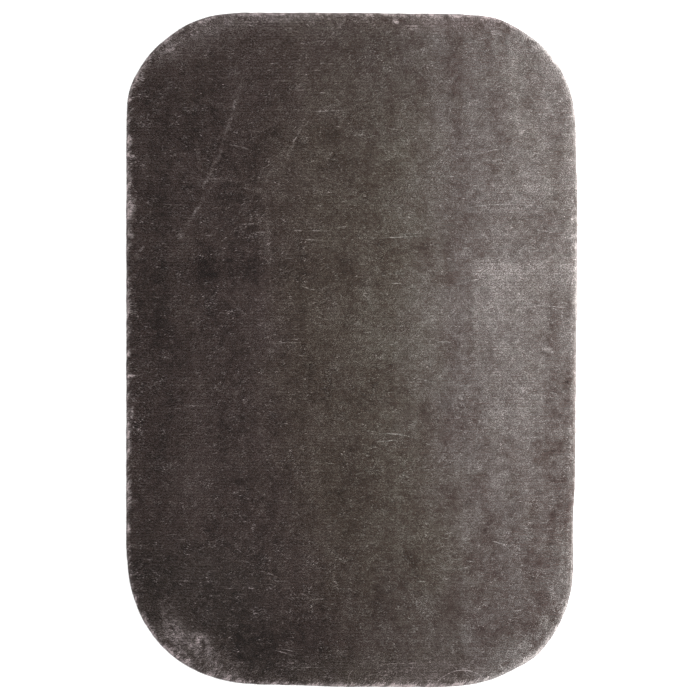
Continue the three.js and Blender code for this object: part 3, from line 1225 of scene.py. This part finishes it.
def make_body():
    """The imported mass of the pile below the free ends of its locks."""
    profile = [
        (PILE_FOOT_INSET, CLOTH_TOP),
        (PILE_FOOT_INSET, PILE_OVER_TAPE),
        (BODY_UNDERCUT, PILE_OVER_TAPE),
    ]
    for degrees in range(-20, 91, 6):
        inset, z, out, up = rim_at(math.radians(degrees))
        profile.append((inset + PILE_DEPTH * out, z - PILE_DEPTH * up))
    even, inner, _ = stations(4.5)
    side = [ring(even, inner, inset, z) for inset, z in profile]
    below = [side[0] * (share, share, 1) for share in (0.25, 0.5, 0.75)]
    above = [side[-1] * (share, share, 1) for share in 1 - np.arange(1, 90) / 90]
    points, corners, sizes = capped(below + side + above)
    high = points[:, 2] > RIM_WIDEST
    points[high, 2] += wave(points[high, 0], points[high, 1])
    x, y = points[:, 0], points[:, 1]
    # the mass between the locks gets painted shade: darker than the locks
    values = {"tone": SHADE_BELOW * painted_light_tone(x, y), **hues(x, y)}
    return add_piece("pile_body", points, corners, sizes, PILE, "pile", values)


# ---------------- stage


def make_floor():
    """A wide white floor, a little cloudy."""
    mesh = bpy.data.meshes.new("floor")
    half = 6.0
    corners = [(-half, -half, 0), (half, -half, 0), (half, half, 0), (-half, half, 0)]
    mesh.from_pydata(corners, [], [(0, 1, 2, 3)])
    material, shader = new_material("floor", 0.9, specular=0.1)
    tinted(material, shader, (0.90, 0.90, 0.90), (0.94, 0.94, 0.94), noise(material, 400, detail=1))
    mesh.materials.append(material)
    add_object("floor", mesh)


def add_light(name, place_m, aim_m, size, power, colour):
    """A rectangular lamp at a place, which shines at another."""
    data = bpy.data.lights.new(name, "AREA")
    data.shape = "RECTANGLE"
    data.size, data.size_y = size
    data.energy = power
    data.color = colour
    light = add_object(name, data)
    light.location = place_m
    heading = np.array(aim_m) - np.array(place_m)
    flat = math.hypot(heading[0], heading[1])
    turn = math.atan2(heading[1], heading[0]) - math.pi / 2
    light.rotation_euler = (math.atan2(flat, -heading[2]), 0, turn)
    light.visible_camera = False


def make_stage():
    """White surroundings, one low lamp at the right, and a camera straight above the mat."""
    scene = bpy.context.scene
    make_floor()
    add_light("key", (1.05, 0.1, 0.5), (0.1, 0.02, 0), (1.3, 0.5), 60, (1.0, 0.99, 0.985))
    world = bpy.data.worlds.new("studio")
    world.use_nodes = True
    set_inputs(world.node_tree.nodes["Background"], {"Color": (1, 1, 1, 1), "Strength": 1.9})
    scene.world = world
    scene.view_settings.view_transform = "Standard"
    data = bpy.data.cameras.new("camera")
    data.lens = 200  # long, so that the mat's sides show little
    data.sensor_width = 36
    data.clip_end = 50
    shown = 0.938  # metres across the picture, at the level of the rim
    camera = add_object("camera", data)
    camera.location = (0.0, -0.0013, RIM_WIDEST * MM + shown * data.lens / data.sensor_width)
    scene.camera = camera


# ---------------- sizes of the cut sheets


def cut_sizes(inset):
    """A sheet cut to the outline at an inset, in metres: width, length, area and the length of its edge."""
    even, inner, _ = stations(1)
    x, y = ((even + inset * inner) * MM).T
    next_x, next_y = np.roll(x, -1), np.roll(y, -1)
    area = 0.5 * abs(np.sum(x * next_y - y * next_x))
    run = np.hypot(x - next_x, y - next_y).sum()
    return (WIDTH - 2 * inset) * MM, (LENGTH - 2 * inset) * MM, area, run


def declare_sheets():
    """Works out the width, length and area of the sheets cut at two insets, and the tape's length, and uses
    none of them.
    """
    width, length, area, _ = cut_sizes(GRIP_INSET)
    width, length, area, _ = cut_sizes(BASE_INSET)
    tape_length = cut_sizes(TAPE_INSET)[3]


# ---------------- build

latex, cloth = make_layers()
grip, dots = make_grip()
tape = make_tape()
seams = [
    make_seam("binding_needle_thread", BINDING_SEAM_INSET, TAPE_TOP, 1, "needle_thread"),
    make_seam("binding_bobbin_thread", BINDING_SEAM_INSET, TAPE_BOTTOM, -1, "bobbin_thread"),
    make_seam("hem_seam_thread", HEM_SEAM_INSET, TAPE_BOTTOM, -1, "hem_thread"),
]
label, tacks = make_label()
body = make_body()
field_locks()
line_locks()
rim_locks()
make_stage()

declare_sheets()
